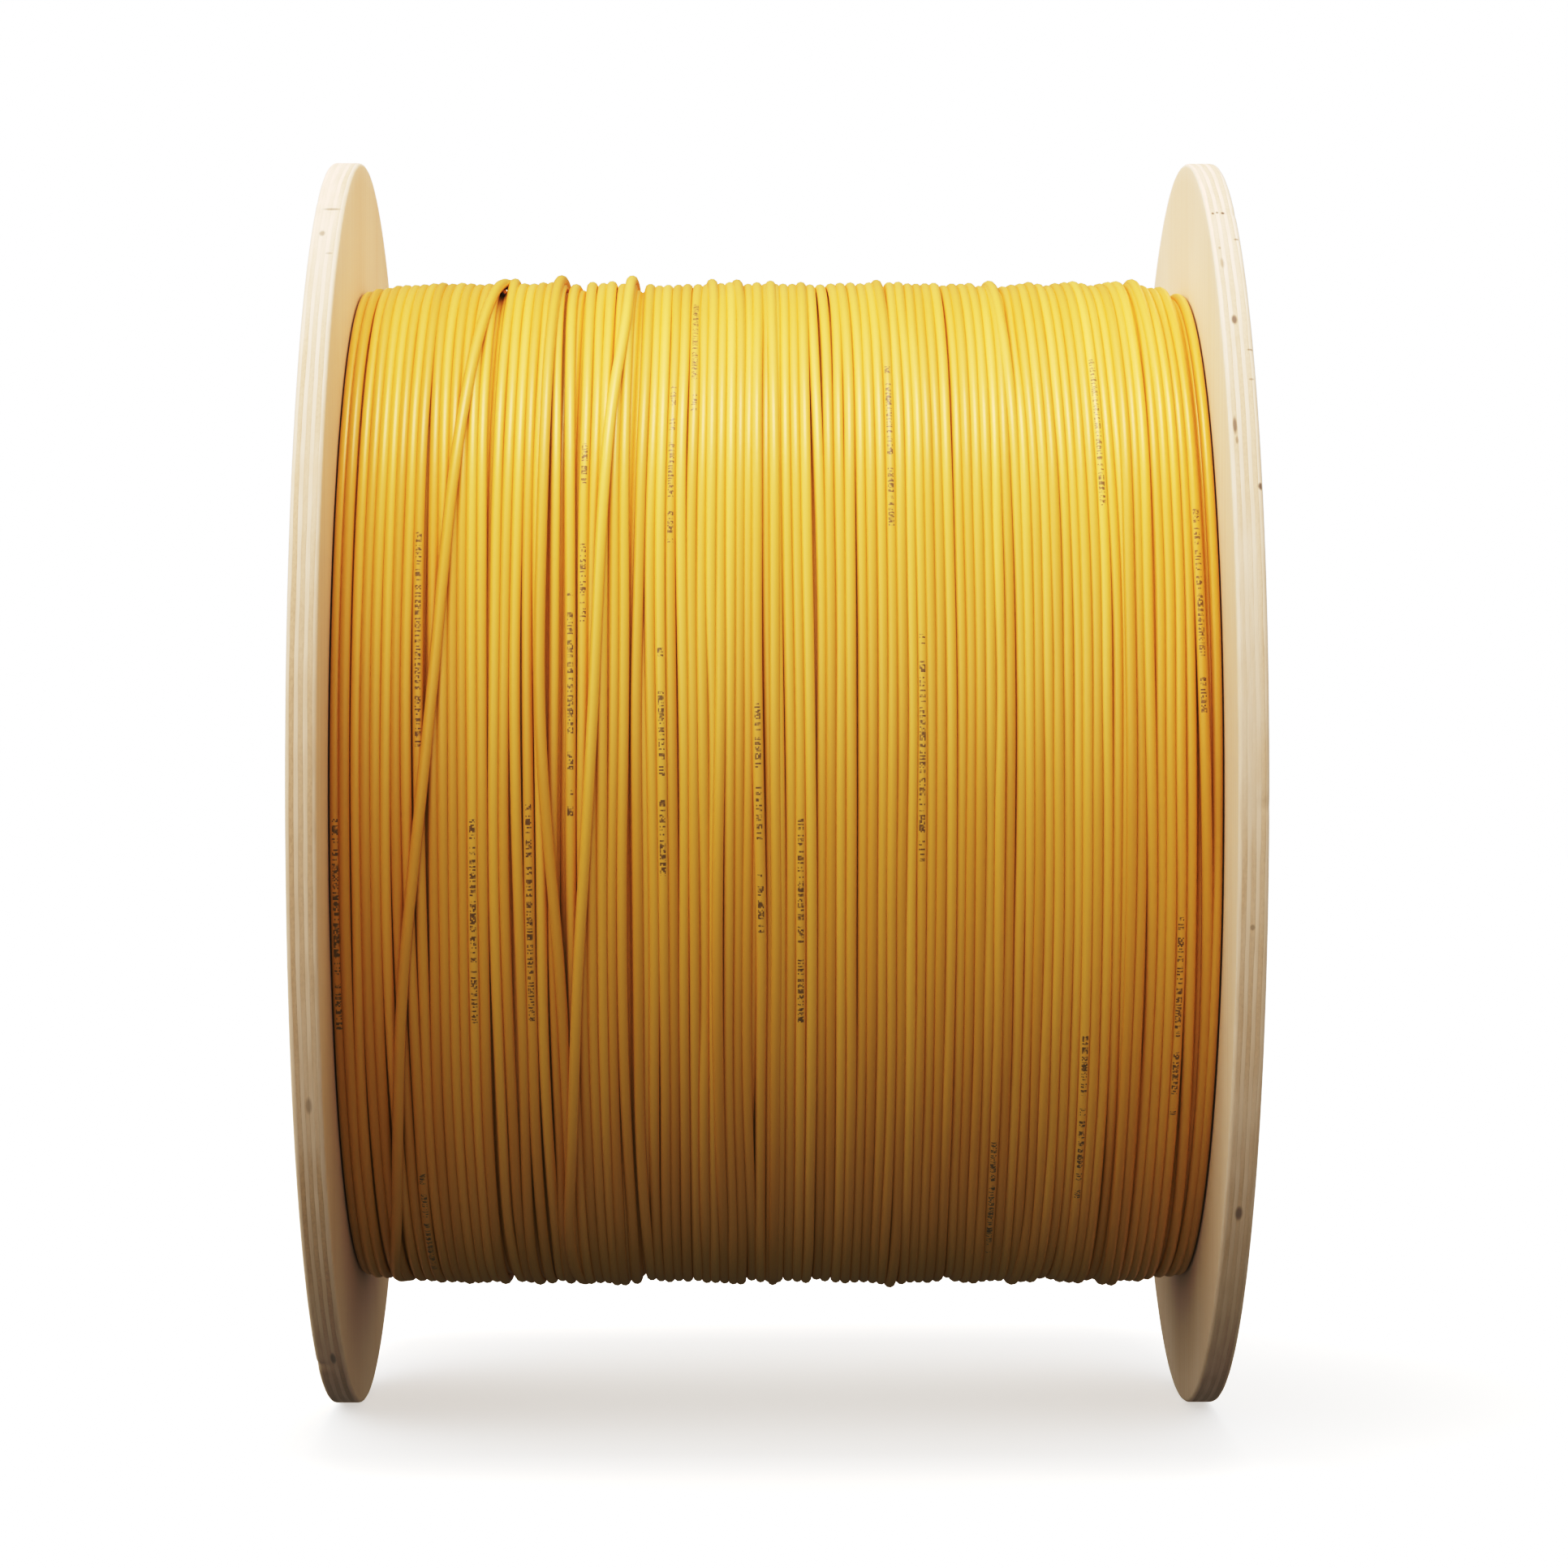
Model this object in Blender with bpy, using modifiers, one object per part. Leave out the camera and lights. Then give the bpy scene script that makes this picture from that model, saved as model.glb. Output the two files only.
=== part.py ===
# A plywood cable reel, wound nearly full with 3 mm cable.
# The reel's axis is X, and the origin is on it, halfway between the two flanges.
# Two plywood flanges are clamped onto a fibreboard barrel by four threaded rods, which run
# through the barrel into sleeve nuts sunk in the flanges. A disc on each flange centres the
# barrel, and a plastic bush lines each flange's arbor hole.

import math

import bmesh
import bpy
from mathutils import Matrix

# Driving dimensions, in metres
FLANGE_DIAMETER = 0.400
FLANGE_THICKNESS = 0.009
RIM_ROUNDING = 0.0012
TRAVERSE = 0.264  # between the flanges' inner faces
BARREL_DIAMETER = 0.180
BARREL_WALL = 0.006
DISC_THICKNESS = 0.009
DISC_CHAMFER = 0.0015
WINDING_DIAMETER = 0.324
WINDING_DROP = 0.003  # how far the winding falls away beside a flange

ARBOR_DIAMETER = 0.040
ARBOR_LEAD_IN = 0.001
BUSH_WALL = 0.003
COLLAR_WIDTH = 0.008
COLLAR_THICKNESS = 0.002

ROD_DIAMETER = 0.006
ROD_INSET = 0.024  # from the barrel's bore to a rod's axis
SLEEVE_DIAMETER = 0.009
NUT_HEAD_DIAMETER = 0.017
NUT_HEAD_THICKNESS = 0.002
NUT_HEAD_CHAMFER = 0.0005
NUT_WEB = 0.002  # between a nut's key socket and its threaded bore
SOCKET_WIDTH = 0.005  # across flats
SOCKET_DEPTH = 0.0035
WASHER_DIAMETER = 0.024
WASHER_THICKNESS = 0.0015

DRIVE_HOLE_DIAMETER = 0.018
START_HOLE_DIAMETER = 0.010
START_HOLE_OFFSET = 0.008  # from the barrel's outside to the hole's axis

# Clearances
GAP = 0.0003  # between two pieces that bear on each other
DISC_SLIP = 0.0005  # from a disc's edge to the barrel's bore
THREAD_SLIP = 0.0004  # from a rod to its nut's bore
SETBACK = 0.0005  # from the flange's outer face to the hardware sunk in it
SLEEVE_SETBACK = 0.001  # from a disc's inner face to the end of a sleeve
ROD_END_SLIP = 0.001  # from a rod's end to the bottom of its nut's bore
CUT_MARGIN = 0.002  # how far a cutter runs past the faces that it cuts

# Counts
ROD_COUNT = 4
LARGE_SEGMENTS = 96
BUSH_SEGMENTS = 48
SMALL_SEGMENTS = 16
ROD_SEGMENTS = 16
WINDING_STATIONS = 7
WINDING_SQUARENESS = 8  # the power that keeps the winding flat until close to a flange

MERGE = 0.00001

# Distances along the axis, from the middle of the reel outwards
inner_face = TRAVERSE / 2
outer_face = inner_face + FLANGE_THICKNESS
disc_top = inner_face - GAP
disc_bottom = disc_top - DISC_THICKNESS
hardware_face = outer_face - SETBACK

# Radii
barrel_radius = BARREL_DIAMETER / 2
barrel_bore = barrel_radius - BARREL_WALL
bush_bore = ARBOR_DIAMETER / 2
bush_radius = bush_bore + BUSH_WALL
collar_radius = bush_radius + COLLAR_WIDTH
rod_circle = barrel_bore - ROD_INSET
sleeve_radius = SLEEVE_DIAMETER / 2
washer_radius = WASHER_DIAMETER / 2

# The sleeve nut, measured down from the outside of its head
nut_length = hardware_face - disc_bottom - SLEEVE_SETBACK
nut_bore_bottom = SOCKET_DEPTH + NUT_WEB


def clear_scene():
    for obj in list(bpy.data.objects):
        bpy.data.objects.remove(obj, do_unlink=True)
    for collection in list(bpy.data.collections):
        bpy.data.collections.remove(collection)


def new_collection(name, parent):
    collection = bpy.data.collections.new(name)
    parent.children.link(collection)
    return collection


def new_material(name, colour, roughness, metallic=0.0):
    material = bpy.data.materials.new(name)
    material.use_nodes = True
    shader = material.node_tree.nodes["Principled BSDF"]
    shader.inputs["Base Color"].default_value = (*colour, 1.0)
    shader.inputs["Roughness"].default_value = roughness
    shader.inputs["Metallic"].default_value = metallic
    return material


def new_object(name, data, collection, parent=None):
    obj = bpy.data.objects.new(name, data)
    collection.objects.link(obj)
    obj.parent = parent
    return obj


def mark_as_cutter(obj):
    obj.hide_render = True
    obj.display_type = "WIRE"


def give_material(obj, material):
    obj.data.materials.clear()
    obj.data.materials.append(material)


def turned(name, profile, segments, collection, parent=None):
    """A body turned about Z. The profile holds (radius, height) points, and runs down its
    outer side. Its ends join, unless both are on the axis."""
    on_axis = profile[0][0] == 0 and profile[-1][0] == 0
    count = len(profile)
    edges = [(i, i + 1) for i in range(count - 1)]
    if not on_axis:
        edges.append((count - 1, 0))
    mesh = bpy.data.meshes.new(name)
    mesh.from_pydata([(radius, 0, height) for radius, height in profile], edges, [])
    obj = new_object(name, mesh, collection, parent)
    screw = obj.modifiers.new("turn", "SCREW")
    screw.steps = segments
    screw.render_steps = segments
    screw.use_merge_vertices = True
    screw.merge_threshold = MERGE
    return obj


def cylinder(name, radius, bottom, top, segments, collection, parent=None):
    """A cylinder about Z, from one height to another."""
    shape = bmesh.new()
    bmesh.ops.create_cone(
        shape, cap_ends=True, segments=segments, radius1=radius, radius2=radius,
        depth=top - bottom, matrix=Matrix.Translation((0, 0, (top + bottom) / 2)),
    )
    mesh = bpy.data.meshes.new(name)
    shape.to_mesh(mesh)
    shape.free()
    mesh.shade_smooth()
    mesh.set_sharp_from_angle(angle=math.radians(30))
    return new_object(name, mesh, collection, parent)


def round_edges(obj, width, segments):
    bevel = obj.modifiers.new("edges", "BEVEL")
    bevel.width = width
    bevel.segments = segments
    bevel.limit_method = "ANGLE"
    bevel.angle_limit = math.radians(60)


def cut(obj, cutters):
    """Cuts every object of the cutters' collection from obj."""
    boolean = obj.modifiers.new("cuts", "BOOLEAN")
    boolean.operation = "DIFFERENCE"
    boolean.operand_type = "COLLECTION"
    boolean.collection = cutters
    for cutter in cutters.objects:
        mark_as_cutter(cutter)


def rod_places():
    """The rods' axes, as (x, y) on their circle."""
    places = []
    for index in range(ROD_COUNT):
        angle = 2 * math.pi * (index + 0.5) / ROD_COUNT
        places.append((rod_circle * math.cos(angle), rod_circle * math.sin(angle)))
    return places


def stepped_cutter(name, recess_radius, recess_floor, hole_radius, segments, collection, parent):
    """A cutter for a hole through flange and disc, with a wider recess in the outer face."""
    top = outer_face + CUT_MARGIN
    bottom = disc_bottom - CUT_MARGIN
    profile = [
        (0, top),
        (recess_radius, top),
        (recess_radius, recess_floor),
        (hole_radius, recess_floor),
        (hole_radius, bottom),
        (0, bottom),
    ]
    return turned(name, profile, segments, collection, parent)


def make_cutters(side, parent, cutter_root):
    """The holes that go through a flange and its disc alike."""
    cutters = new_collection(f"holes_{side}", cutter_root)
    collar_floor = hardware_face - COLLAR_THICKNESS - GAP
    stepped_cutter(
        f"cut_arbor_{side}", collar_radius + GAP, collar_floor, bush_radius + GAP,
        BUSH_SEGMENTS, cutters, parent,
    )
    washer_floor = hardware_face - NUT_HEAD_THICKNESS - GAP - WASHER_THICKNESS - GAP
    for number, (x, y) in enumerate(rod_places(), 1):
        cutter = stepped_cutter(
            f"cut_rod_{side}_{number}", washer_radius + GAP, washer_floor,
            sleeve_radius + GAP, SMALL_SEGMENTS, cutters, parent,
        )
        cutter.location = (x, y, 0)
    drive = cylinder(
        f"cut_drive_{side}", DRIVE_HOLE_DIAMETER / 2, disc_bottom - CUT_MARGIN,
        outer_face + CUT_MARGIN, SMALL_SEGMENTS, cutters, parent,
    )
    drive.location = (0, rod_circle, 0)
    return cutters


def make_flange(side, parent, cutters, cutter_root, collection, material):
    flange = cylinder(
        f"flange_{side}", FLANGE_DIAMETER / 2, inner_face, outer_face,
        LARGE_SEGMENTS, collection, parent,
    )
    round_edges(flange, RIM_ROUNDING, 2)
    cut(flange, cutters)
    if side == "left":
        start_cuts = new_collection("start_hole", cutter_root)
        start = cylinder(
            "cut_start", START_HOLE_DIAMETER / 2, inner_face - CUT_MARGIN,
            outer_face + CUT_MARGIN, SMALL_SEGMENTS, start_cuts, parent,
        )
        start.location = (barrel_radius + START_HOLE_OFFSET, 0, 0)
        cut(flange, start_cuts)
    give_material(flange, material)


def make_disc(side, parent, cutters, collection, material):
    disc = cylinder(
        f"locating_disc_{side}", barrel_bore - DISC_SLIP, disc_bottom, disc_top,
        LARGE_SEGMENTS, collection, parent,
    )
    round_edges(disc, DISC_CHAMFER, 1)
    cut(disc, cutters)
    give_material(disc, material)


def make_bush(side, parent, collection, material):
    collar_seat = hardware_face - COLLAR_THICKNESS
    profile = [
        (collar_radius, hardware_face),
        (collar_radius, collar_seat),
        (bush_radius, collar_seat),
        (bush_radius, disc_bottom),
        (bush_bore, disc_bottom),
        (bush_bore, hardware_face - ARBOR_LEAD_IN),
        (bush_bore + ARBOR_LEAD_IN, hardware_face),
    ]
    bush = turned(f"arbor_bush_{side}", profile, BUSH_SEGMENTS, collection, parent)
    give_material(bush, material)


def washer_mesh(guides, material):
    hole_radius = sleeve_radius + GAP
    profile = [
        (washer_radius, WASHER_THICKNESS),
        (washer_radius, 0),
        (hole_radius, 0),
        (hole_radius, WASHER_THICKNESS),
    ]
    washer = turned("washer_pattern", profile, SMALL_SEGMENTS, guides)
    return finished_mesh(washer, "washer", material)


def nut_mesh(guides, material):
    """The sleeve nut, with the outside of its head at height 0 and its sleeve below."""
    head_radius = NUT_HEAD_DIAMETER / 2
    bore_radius = ROD_DIAMETER / 2 + THREAD_SLIP
    profile = [
        (0, 0),
        (head_radius - NUT_HEAD_CHAMFER, 0),
        (head_radius, -NUT_HEAD_CHAMFER),
        (head_radius, -NUT_HEAD_THICKNESS),
        (sleeve_radius, -NUT_HEAD_THICKNESS),
        (sleeve_radius, -nut_length),
        (bore_radius, -nut_length),
        (bore_radius, -nut_bore_bottom),
        (0, -nut_bore_bottom),
    ]
    nut = turned("nut_pattern", profile, SMALL_SEGMENTS, guides)
    sockets = new_collection("nut_socket", guides)
    cylinder(
        "cut_socket", SOCKET_WIDTH / 2 / math.cos(math.pi / 6), -SOCKET_DEPTH, CUT_MARGIN,
        6, sockets,
    )
    cut(nut, sockets)
    return finished_mesh(nut, "sleeve_nut", material)


def finished_mesh(pattern, name, material):
    """The pattern's mesh with its modifiers applied, for copies to share."""
    bpy.context.view_layer.update()
    graph = bpy.context.evaluated_depsgraph_get()
    mesh = bpy.data.meshes.new_from_object(pattern.evaluated_get(graph))
    mesh.name = name
    mesh.materials.clear()
    mesh.materials.append(material)
    bpy.data.objects.remove(pattern)
    return mesh


def place_fasteners(side, parent, nut, washer, collection):
    washer_seat = hardware_face - NUT_HEAD_THICKNESS - GAP - WASHER_THICKNESS
    for number, (x, y) in enumerate(rod_places(), 1):
        head = new_object(f"sleeve_nut_{side}_{number}", nut, collection, parent)
        head.location = (x, y, hardware_face)
        ring = new_object(f"washer_{side}_{number}", washer, collection, parent)
        ring.location = (x, y, washer_seat)


def make_rods(parent, collection, material):
    half_length = hardware_face - nut_bore_bottom - ROD_END_SLIP
    for number, (x, y) in enumerate(rod_places(), 1):
        rod = cylinder(
            f"tie_rod_{number}", ROD_DIAMETER / 2, -half_length, half_length,
            ROD_SEGMENTS, collection, parent,
        )
        rod.location = (x, y, 0)
        give_material(rod, material)


def make_barrel(parent, collection, material):
    half_length = inner_face - GAP
    profile = [
        (barrel_radius, half_length),
        (barrel_radius, -half_length),
        (barrel_bore, -half_length),
        (barrel_bore, half_length),
    ]
    barrel = turned("barrel_tube", profile, LARGE_SEGMENTS, collection, parent)
    give_material(barrel, material)


def make_winding(parent, collection, material):
    """The wound cable's outer shape: flat across, and falling away beside the flanges."""
    half_width = inner_face - GAP
    profile = []
    for station in range(WINDING_STATIONS):
        share = math.cos(math.pi * station / (WINDING_STATIONS - 1))
        fall = WINDING_DROP * abs(share) ** WINDING_SQUARENESS
        profile.append((WINDING_DIAMETER / 2 - fall, half_width * share))
    inner_radius = barrel_radius + GAP
    profile += [(inner_radius, -half_width), (inner_radius, half_width)]
    winding = turned("cable_winding", profile, LARGE_SEGMENTS, collection, parent)
    give_material(winding, material)


clear_scene()
reel = new_collection("cable_reel", bpy.context.scene.collection)
helpers = new_collection("reel_cutters", bpy.context.scene.collection)

birch = new_material("birch_plywood", (0.78, 0.62, 0.42), 0.62)
fibreboard = new_material("fibreboard", (0.42, 0.28, 0.16), 0.85)
plastic = new_material("black_plastic", (0.03, 0.03, 0.03), 0.45)
zinc = new_material("zinc_plated_steel", (0.62, 0.63, 0.65), 0.35, 1.0)
jacket = new_material("yellow_jacket", (0.80, 0.50, 0.04), 0.38)

# Each side is modelled with +Z outwards, and its empty turns +Z to -X or +X.
washer_shape = washer_mesh(helpers, zinc)
nut_shape = nut_mesh(helpers, zinc)
for side_name, turn in (("left", -math.pi / 2), ("right", math.pi / 2)):
    side_empty = new_object(f"side_{side_name}", None, reel)
    side_empty.rotation_euler = (0, turn, 0)
    holes = make_cutters(side_name, side_empty, helpers)
    make_flange(side_name, side_empty, holes, helpers, reel, birch)
    make_disc(side_name, side_empty, holes, reel, birch)
    make_bush(side_name, side_empty, reel, plastic)
    place_fasteners(side_name, side_empty, nut_shape, washer_shape, reel)

axis_empty = new_object("reel_axis", None, reel)
axis_empty.rotation_euler = (0, math.pi / 2, 0)
make_barrel(axis_empty, reel, fibreboard)
make_rods(axis_empty, reel, zinc)
make_winding(axis_empty, reel, jacket)
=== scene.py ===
import math

import bmesh
import bpy
import numpy as np
from mathutils import Matrix, Vector


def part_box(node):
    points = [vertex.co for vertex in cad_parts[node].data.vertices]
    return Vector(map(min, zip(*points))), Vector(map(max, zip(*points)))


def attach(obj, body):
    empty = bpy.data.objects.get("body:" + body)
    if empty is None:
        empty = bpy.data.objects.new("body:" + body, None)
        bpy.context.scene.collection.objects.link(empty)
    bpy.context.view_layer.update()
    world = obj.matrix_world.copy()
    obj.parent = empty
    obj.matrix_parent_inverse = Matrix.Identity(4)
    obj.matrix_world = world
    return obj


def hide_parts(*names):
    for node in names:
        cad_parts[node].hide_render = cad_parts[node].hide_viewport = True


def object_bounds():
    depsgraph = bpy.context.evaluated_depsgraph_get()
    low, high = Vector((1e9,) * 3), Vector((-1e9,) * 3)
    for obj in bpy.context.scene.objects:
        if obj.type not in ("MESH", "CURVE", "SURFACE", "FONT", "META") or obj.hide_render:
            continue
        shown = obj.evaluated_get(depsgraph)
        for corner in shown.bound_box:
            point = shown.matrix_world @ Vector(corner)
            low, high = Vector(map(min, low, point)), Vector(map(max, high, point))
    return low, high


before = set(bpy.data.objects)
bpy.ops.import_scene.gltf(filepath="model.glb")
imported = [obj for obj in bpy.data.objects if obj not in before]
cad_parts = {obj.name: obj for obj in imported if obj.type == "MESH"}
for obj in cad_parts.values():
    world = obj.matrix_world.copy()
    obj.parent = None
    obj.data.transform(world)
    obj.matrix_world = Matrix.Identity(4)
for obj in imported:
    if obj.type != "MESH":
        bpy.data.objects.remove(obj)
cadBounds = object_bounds()
print("frame loaded:", len(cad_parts), "nodes")


# Shader building

class Wire:  # a shader socket that takes part in sums
    def __init__(self, shader, socket):
        self.shader = shader
        self.socket = socket

    def maths(self, operation, first, second=None):
        values = {0: first} if second is None else {0: first, 1: second}
        return self.shader.node("ShaderNodeMath", {"operation": operation}, values)

    def __add__(self, other):
        return self.maths("ADD", self, other)

    __radd__ = __add__

    def __sub__(self, other):
        return self.maths("SUBTRACT", self, other)

    def __rsub__(self, other):
        return self.maths("SUBTRACT", other, self)

    def __mul__(self, other):
        return self.maths("MULTIPLY", self, other)

    __rmul__ = __mul__

    def __truediv__(self, other):
        return self.maths("DIVIDE", self, other)

    def __mod__(self, other):
        return self.maths("MODULO", self, other)

    def __abs__(self):
        return self.maths("ABSOLUTE", self)

    def __gt__(self, other):
        return self.maths("GREATER_THAN", self, other)

    def __lt__(self, other):
        return self.maths("LESS_THAN", self, other)

    def floor(self):
        return self.maths("FLOOR", self)

    def root(self):
        return self.maths("SQRT", self)

    def sine(self):
        return self.maths("SINE", self)

    def angleFrom(self, other):  # of the point (other, self)
        return self.maths("ARCTAN2", self, other)

    def within(self, low, high):  # 0 below low, 1 above high, smooth between
        settings = {"interpolation_type": "SMOOTHSTEP"}
        return self.shader.node("ShaderNodeMapRange", settings, {0: self, 1: low, 2: high})


class Shader:
    def __init__(self, owner):  # a new material or world
        self.owner = owner
        owner.use_nodes = True
        self.tree = owner.node_tree
        self.tree.nodes.clear()

    def node(self, kind, settings=None, values=None, output=0):
        node = self.tree.nodes.new(kind)
        for name, value in (settings or {}).items():
            if name == "stops":
                self.fillRamp(node.color_ramp, value)
            else:
                setattr(node, name, value)
        for name, value in (values or {}).items():
            if isinstance(value, Wire):
                self.tree.links.new(value.socket, node.inputs[name])
            else:
                node.inputs[name].default_value = value
        return Wire(self, node.outputs[output]) if node.outputs else None

    def fillRamp(self, ramp, stops):
        while len(ramp.elements) < len(stops):
            ramp.elements.new(1.0)
        for element, (position, colour) in zip(ramp.elements, stops):
            element.position = position
            element.color = (*colour, 1.0)

    def blend(self, factor, first, second):  # colours, not numbers
        colours = {
            key: value if isinstance(value, Wire) else (*value, 1.0)
            for key, value in ((6, first), (7, second))
        }
        settings = {"data_type": "RGBA"}
        return self.node("ShaderNodeMix", settings, {0: factor, **colours}, 2)

    def place(self):
        return self.node("ShaderNodeTexCoord", output="Object")

    def parts(self, vector):
        split = self.node("ShaderNodeSeparateXYZ", values={0: vector}).socket.node
        return [Wire(self, output) for output in split.outputs]

    def stretched(self, vector, scale, shift=(0, 0, 0)):
        return self.node("ShaderNodeMapping", values={0: vector, 1: shift, 3: scale})

    def noise(self, vector, scale, detail=2.0, roughness=0.5):
        values = {"Vector": vector, "Scale": scale, "Detail": detail, "Roughness": roughness}
        return self.node("ShaderNodeTexNoise", values=values)

    def lineNoise(self, number, scale, detail=0.0):
        values = {"W": number, "Scale": scale, "Detail": detail}
        return self.node("ShaderNodeTexNoise", {"noise_dimensions": "1D"}, values)

    def chance(self, *numbers):  # a random number for each set of whole numbers
        cell = self.node("ShaderNodeCombineXYZ", values=dict(enumerate(numbers)))
        return self.node("ShaderNodeTexWhiteNoise", {"noise_dimensions": "3D"}, {"Vector": cell})

    def attribute(self, name):
        return self.node("ShaderNodeAttribute", {"attribute_name": name}, output="Fac")

    def bump(self, height, distance, strength=1.0):
        values = {"Height": height, "Distance": distance, "Strength": strength}
        return self.node("ShaderNodeBump", values=values)

    def finish(self, values):
        surface = self.node("ShaderNodeBsdfPrincipled", values=values)
        self.node("ShaderNodeOutputMaterial", values={"Surface": surface})
        return self.owner


def newShader(name):
    return Shader(bpy.data.materials.new(name))


# Materials

jacketLook = {
    "yellow": (0.77, 0.455, 0.095),
    "paler": (0.865, 0.55, 0.13),
    "shaded": (0.86, 0.505, 0.13),  # light that the neighbours pass on, deep in the grooves
    "shading": 0.8,
    "ink": (0.15, 0.095, 0.055),
    "inkCover": 0.8,
    "markPitch": 0.00047,  # along the cable
    "markRows": 3.0,  # rows of marks over a strand's half width
    "bandWidth": 0.58,  # of the rows, as a share of the strand's width
    "wordLength": 0.0052,
    "blankColumns": 0.40,  # shares of the print that are left blank
    "blankMarks": 0.25,
    "blankWords": 0.16,
    "roughness": 0.315,
}


def makeJacket(look):
    shader = newShader("cableJacket")
    along = shader.attribute("along")
    side = shader.attribute("side")
    outward = shader.attribute("outward")
    run = shader.attribute("print")
    tone = shader.lineNoise(along, 1.7, 1.0)
    colour = shader.blend(tone.within(0.3, 0.7), look["yellow"], look["paler"])
    groove = look["shading"] - look["shading"] * outward.within(-0.2, 0.55)
    colour = shader.blend(groove, colour, look["shaded"])

    # the print: columns and rows of plain marks, in words
    column = (along / look["markPitch"]).floor()
    row = (side * look["markRows"]).floor()
    word = (along / look["wordLength"]).floor()
    marks = shader.chance(column, 1.0, 5.0) > look["blankColumns"]
    marks = marks * (shader.chance(column, row, 3.0) > look["blankMarks"])
    marks = marks * (shader.chance(word, 1.0, 9.0) > look["blankWords"])
    inBand = (abs(side) < look["bandWidth"]) * (outward > 0.0) * (run > 0.5)
    worn = shader.noise(shader.place(), 900.0, 1.0).within(0.25, 0.6)
    colour = shader.blend(marks * inBand * worn * look["inkCover"], colour, look["ink"])

    handled = shader.noise(shader.place(), 38.0, 2.0)
    roughness = look["roughness"] + 0.06 * (handled - 0.5)
    skin = shader.noise(shader.place(), 420.0, 2.0)
    normal = shader.bump(skin, 0.00002, 0.4)
    return shader.finish({"Base Color": colour, "Roughness": roughness, "Normal": normal})


plywoodLook = {
    "plies": 7,
    "edgeLong": (0.90, 0.72, 0.53),  # plies whose grain runs along the edge
    "edgeEnd": (0.75, 0.545, 0.35),  # plies whose grain ends at the edge
    "glue": (0.60, 0.43, 0.27),
    "bruise": (0.20, 0.135, 0.095),
    "roughness": 0.62,
}
faceTones = {  # paler and darker grain, and pores
    "left": [(0.92, 0.76, 0.57), (0.85, 0.67, 0.48), (0.66, 0.47, 0.31)],
    "right": [(0.89, 0.76, 0.59), (0.82, 0.67, 0.49), (0.65, 0.49, 0.33)],
}
# (angle, depth in the thickness, half length in degrees, half height, strength) on each rim
rimMarks = {
    "left": [
        (61.5, 0.42, 0.25, 0.30, 0.6), (56.5, 0.62, 0.5, 0.10, 0.6), (53.0, 0.3, 0.2, 0.12, 0.4),
        (-28, 0.45, 0.8, 0.10, 0.35), (-62, 0.4, 1.2, 0.09, 0.5),
    ],
    "right": [
        (60.7, 0.22, 0.24, 0.05, 0.9), (60.9, 0.37, 0.22, 0.05, 0.8),
        (60.8, 0.56, 0.26, 0.07, 0.95), (55.5, 0.85, 0.18, 0.09, 0.7),
        (54.0, 0.25, 0.25, 0.05, 0.5), (51.5, 0.27, 0.8, 0.07, 0.45),
        (43.5, 0.45, 0.6, 0.10, 0.85), (39.8, 0.88, 0.12, 0.11, 0.6),
        (36.4, 0.84, 0.12, 0.09, 0.5), (31.5, 0.20, 0.9, 0.07, 0.75),
        (30.0, 0.24, 0.4, 0.05, 0.5), (25.5, 0.93, 0.35, 0.09, 0.85),
        (-12, 0.5, 0.25, 0.08, 0.4), (-39.5, 0.5, 0.8, 0.12, 0.6),
    ],
}


def ringMark(angle, depth, mark):  # one dark spot or dash on the rim
    at, across, wide, high, strength = mark
    away = (angle - math.radians(at)) / math.radians(wide)
    down = (depth - across) / high
    reach = (away * away + down * down).root()
    return (1 - reach.within(0.5, 1.35)) * strength


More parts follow.
